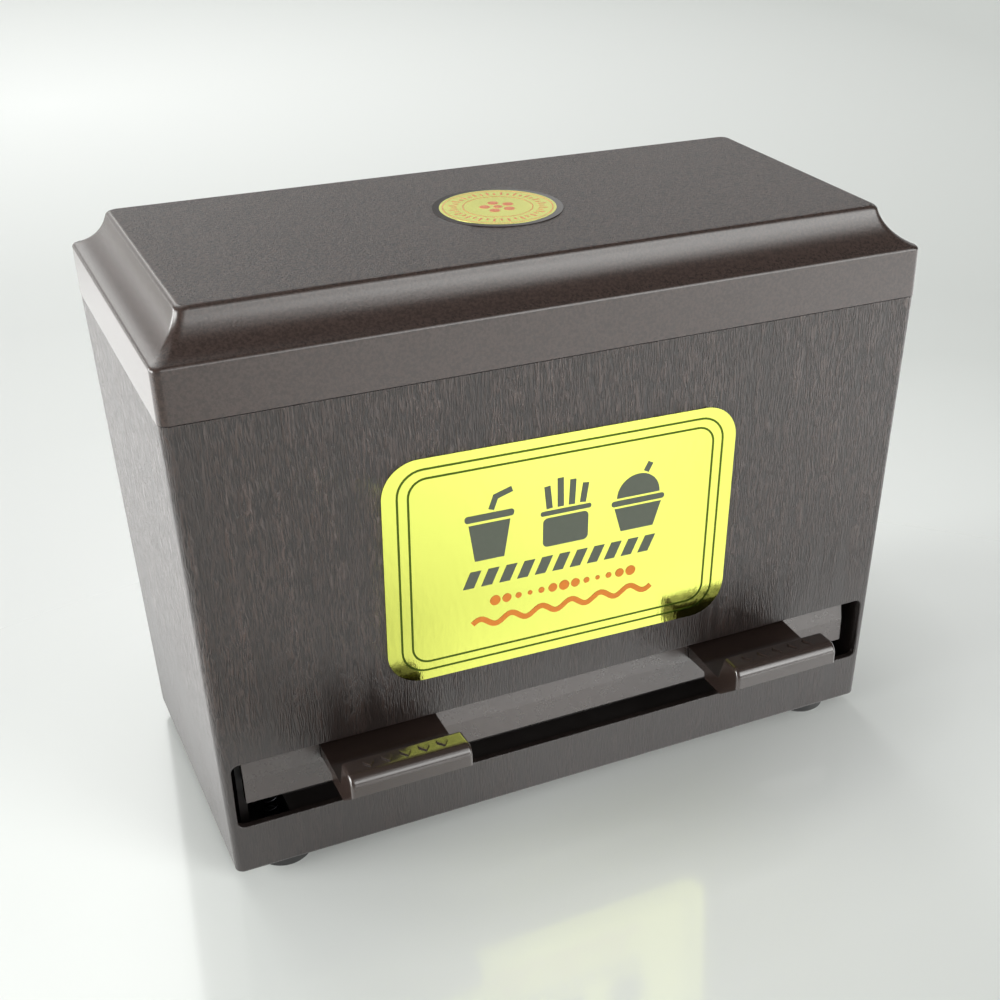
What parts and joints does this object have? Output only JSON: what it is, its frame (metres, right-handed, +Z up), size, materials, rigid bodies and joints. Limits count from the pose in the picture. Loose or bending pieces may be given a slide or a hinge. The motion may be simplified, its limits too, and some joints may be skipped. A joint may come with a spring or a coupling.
{
  "type": "straw dispenser",
  "caption": "Counter-top straw dispenser: tapered dark brown bin with a loose coved lid, an outlet slot low in front, and a spring-returned rocker worked by finger levers.",
  "frame": {"origin": "on the counter under the middle of the object's box", "axes": "+X to the user's right along the straws, -Y towards the user, +Z up"},
  "size_m": [0.27, 0.1581, 0.2112],
  "materials": {
    "grained_plastic": "dark brown moulded plastic with an embossed upright wood grain, satin",
    "lid_plastic": "dark brown moulded plastic, finely sanded flat top, smoother satin moulding and rim",
    "lever_plastic": "smooth dark brown plastic, semi-gloss",
    "rocker_plastic": "smooth dark brown plastic, satin",
    "inner_plastic": "plain dark brown moulded plastic",
    "gold_film": "metallised yellow-gold film with a printed frame and plain pictograms",
    "badge_film": "yellow-gold film with a clear glossy rim",
    "foot_rubber": "black moulded rubber",
    "screw_steel": "zinc-plated steel",
    "pin_steel": "turned steel, lightly polished",
    "spring_steel": "drawn spring wire",
    "bush_plastic": "natural white acetal"
  },
  "bodies": {
    "housing": {"body_shell": "grained_plastic", "front_label": "gold_film", "foot_front_left": "foot_rubber", "foot_front_right": "foot_rubber", "foot_rear_left": "foot_rubber", "foot_rear_right": "foot_rubber", "foot_screws": "screw_steel", "side_frame_left": "inner_plastic", "side_frame_right": "inner_plastic", "base_screws": "screw_steel", "hopper_ramp": "inner_plastic", "hopper_baffle": "inner_plastic", "baffle_screws": "screw_steel", "straw_tray": "inner_plastic", "pivot_pin_left": "pin_steel", "pivot_pin_right": "pin_steel", "pin_clip_left": "pin_steel", "pin_clip_right": "pin_steel", "return_spring_left": "spring_steel", "return_spring_right": "spring_steel", "stop_bumper_left": "foot_rubber", "stop_bumper_right": "foot_rubber"},
    "cover": {"lid": "lid_plastic", "lid_badge": "badge_film"},
    "rocker": {"press_bar": "rocker_plastic", "press_lever_left": "lever_plastic", "press_lever_right": "lever_plastic", "lever_screws": "screw_steel", "feed_sector": "rocker_plastic", "sector_screws": "screw_steel", "pivot_bush_left": "bush_plastic", "pivot_bush_right": "bush_plastic"}
  },
  "joints": [
    {"name": "lever_press", "type": "hinge", "parent": "housing", "child": "rocker", "pos_m": [0, -0.0203, 0.043], "axis": [1, 0, 0], "range_deg": [0, 18], "stiffness_Nm_per_rad": 0.35, "springref_deg": -20.05, "deforming": ["return_spring_left", "return_spring_right"]},
    {"name": "lid_lift", "type": "slide", "parent": "housing", "child": "cover", "axis": [0, 0, 1], "range_m": [0, 0.15]}
  ]
}
